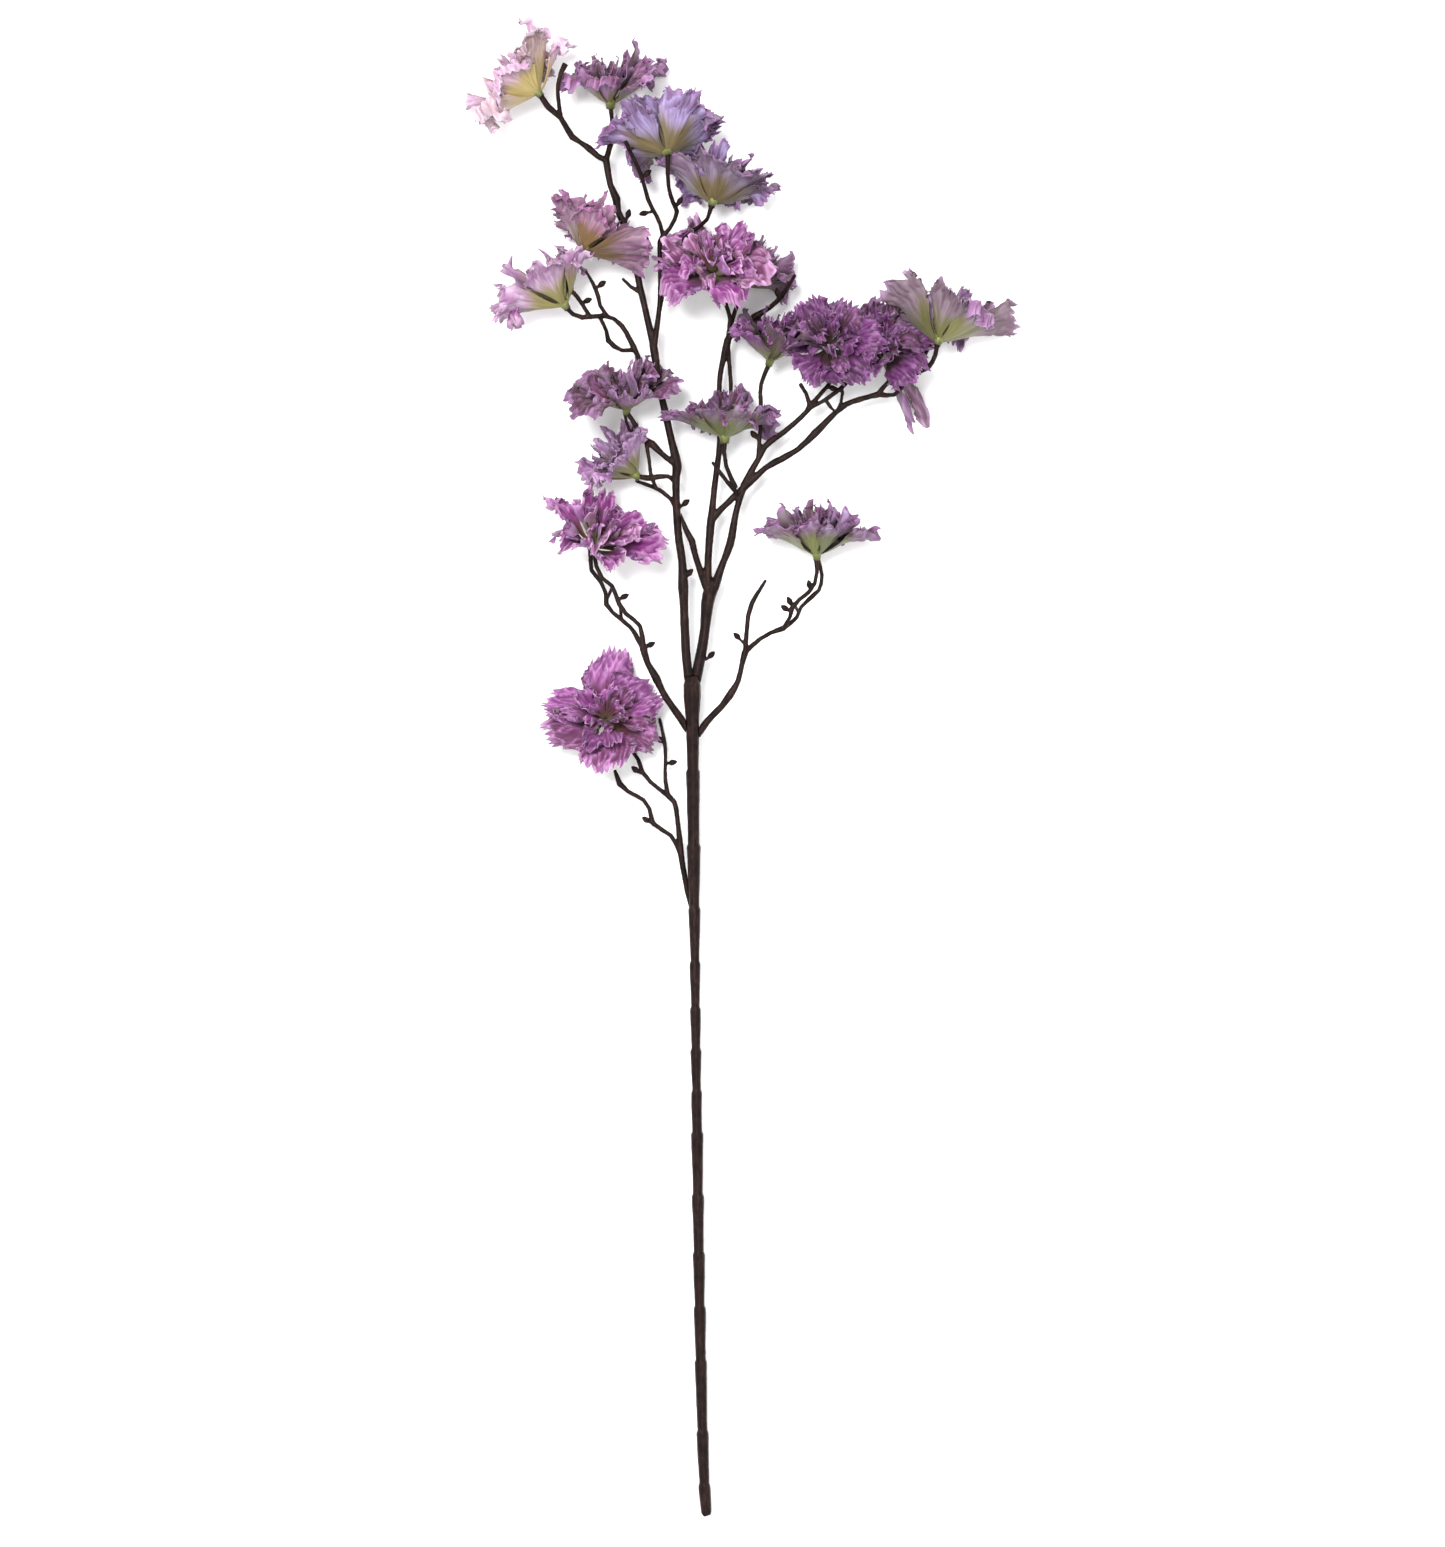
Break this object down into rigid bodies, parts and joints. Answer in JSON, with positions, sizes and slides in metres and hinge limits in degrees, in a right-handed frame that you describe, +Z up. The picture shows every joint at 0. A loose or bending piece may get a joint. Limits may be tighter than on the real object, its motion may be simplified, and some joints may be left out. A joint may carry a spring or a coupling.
{
  "type": "cut carnation spray",
  "caption": "Long cut flowering spray laid on its side: a dark jointed stem with forked, budded twigs that carry fringed violet carnation-like blossoms.",
  "frame": {"origin": "centre of the bounding box's base, on the surface that the spray lies on", "axes": "+Y along the spray from the cut end to the tips, +X to the right as it is looked down on, +Z up"},
  "size_m": [0.2714, 0.748, 0.0554],
  "materials": {
    "bark": "dark brown-black moulded bark, faint sheen, ringed at the joints",
    "calyx": "olive to yellow-green, satin",
    "petal_pale": "pale pink-lilac pressed petal cloth, cream and green towards the base, toothed edge",
    "petal_orchid": "bright orchid pressed petal cloth, brown-olive at the throat, toothed edge",
    "petal_mauve": "mauve pressed petal cloth, olive-brown at the throat, toothed edge",
    "petal_plum": "plum pressed petal cloth, yellow-green bowl, toothed edge",
    "petal_violet": "deep violet pressed petal cloth, greenish centre, toothed edge"
  },
  "bodies": {
    "root": {"main_stem": "bark", "lower_left_sprig": "bark", "left_branch": "bark", "right_branch": "bark", "left_leader": "bark", "centre_leader": "bark", "calyx_lower_left": "calyx", "calyx_left_low": "calyx", "calyx_right_low": "calyx", "calyx_left_small": "calyx", "calyx_left_mid": "calyx", "calyx_left_outer": "calyx", "calyx_left_upper": "calyx", "calyx_top_outer": "calyx", "calyx_top_back": "calyx", "calyx_top_front": "calyx", "calyx_top_right": "calyx", "calyx_centre_face": "calyx", "calyx_centre_side": "calyx", "calyx_centre_flat": "calyx", "calyx_cluster_left": "calyx", "calyx_cluster_face": "calyx", "calyx_cluster_right": "calyx", "calyx_right_outer": "calyx", "petals_lower_left": "petal_orchid", "petals_left_low": "petal_orchid", "petals_right_low": "petal_plum", "petals_left_small": "petal_mauve", "petals_left_mid": "petal_mauve", "petals_left_outer": "petal_pale", "petals_left_upper": "petal_mauve", "petals_top_outer": "petal_pale", "petals_top_back": "petal_mauve", "petals_top_front": "petal_mauve", "petals_top_right": "petal_mauve", "petals_centre_face": "petal_orchid", "petals_centre_side": "petal_violet", "petals_centre_flat": "petal_plum", "petals_cluster_left": "petal_violet", "petals_cluster_face": "petal_violet", "petals_cluster_right": "petal_violet", "petals_right_outer": "petal_pale", "inner_petals_lower_left": "petal_orchid", "inner_petals_left_low": "petal_orchid", "inner_petals_right_low": "petal_plum", "inner_petals_left_small": "petal_mauve", "inner_petals_left_mid": "petal_mauve", "inner_petals_left_outer": "petal_pale", "inner_petals_left_upper": "petal_mauve", "inner_petals_top_outer": "petal_pale", "inner_petals_top_back": "petal_mauve", "inner_petals_top_front": "petal_mauve", "inner_petals_top_right": "petal_mauve", "inner_petals_centre_face": "petal_orchid", "inner_petals_centre_side": "petal_violet", "inner_petals_centre_flat": "petal_plum", "inner_petals_cluster_left": "petal_violet", "inner_petals_cluster_face": "petal_violet", "inner_petals_cluster_right": "petal_violet", "inner_petals_right_outer": "petal_pale"}
  },
  "joints": []
}
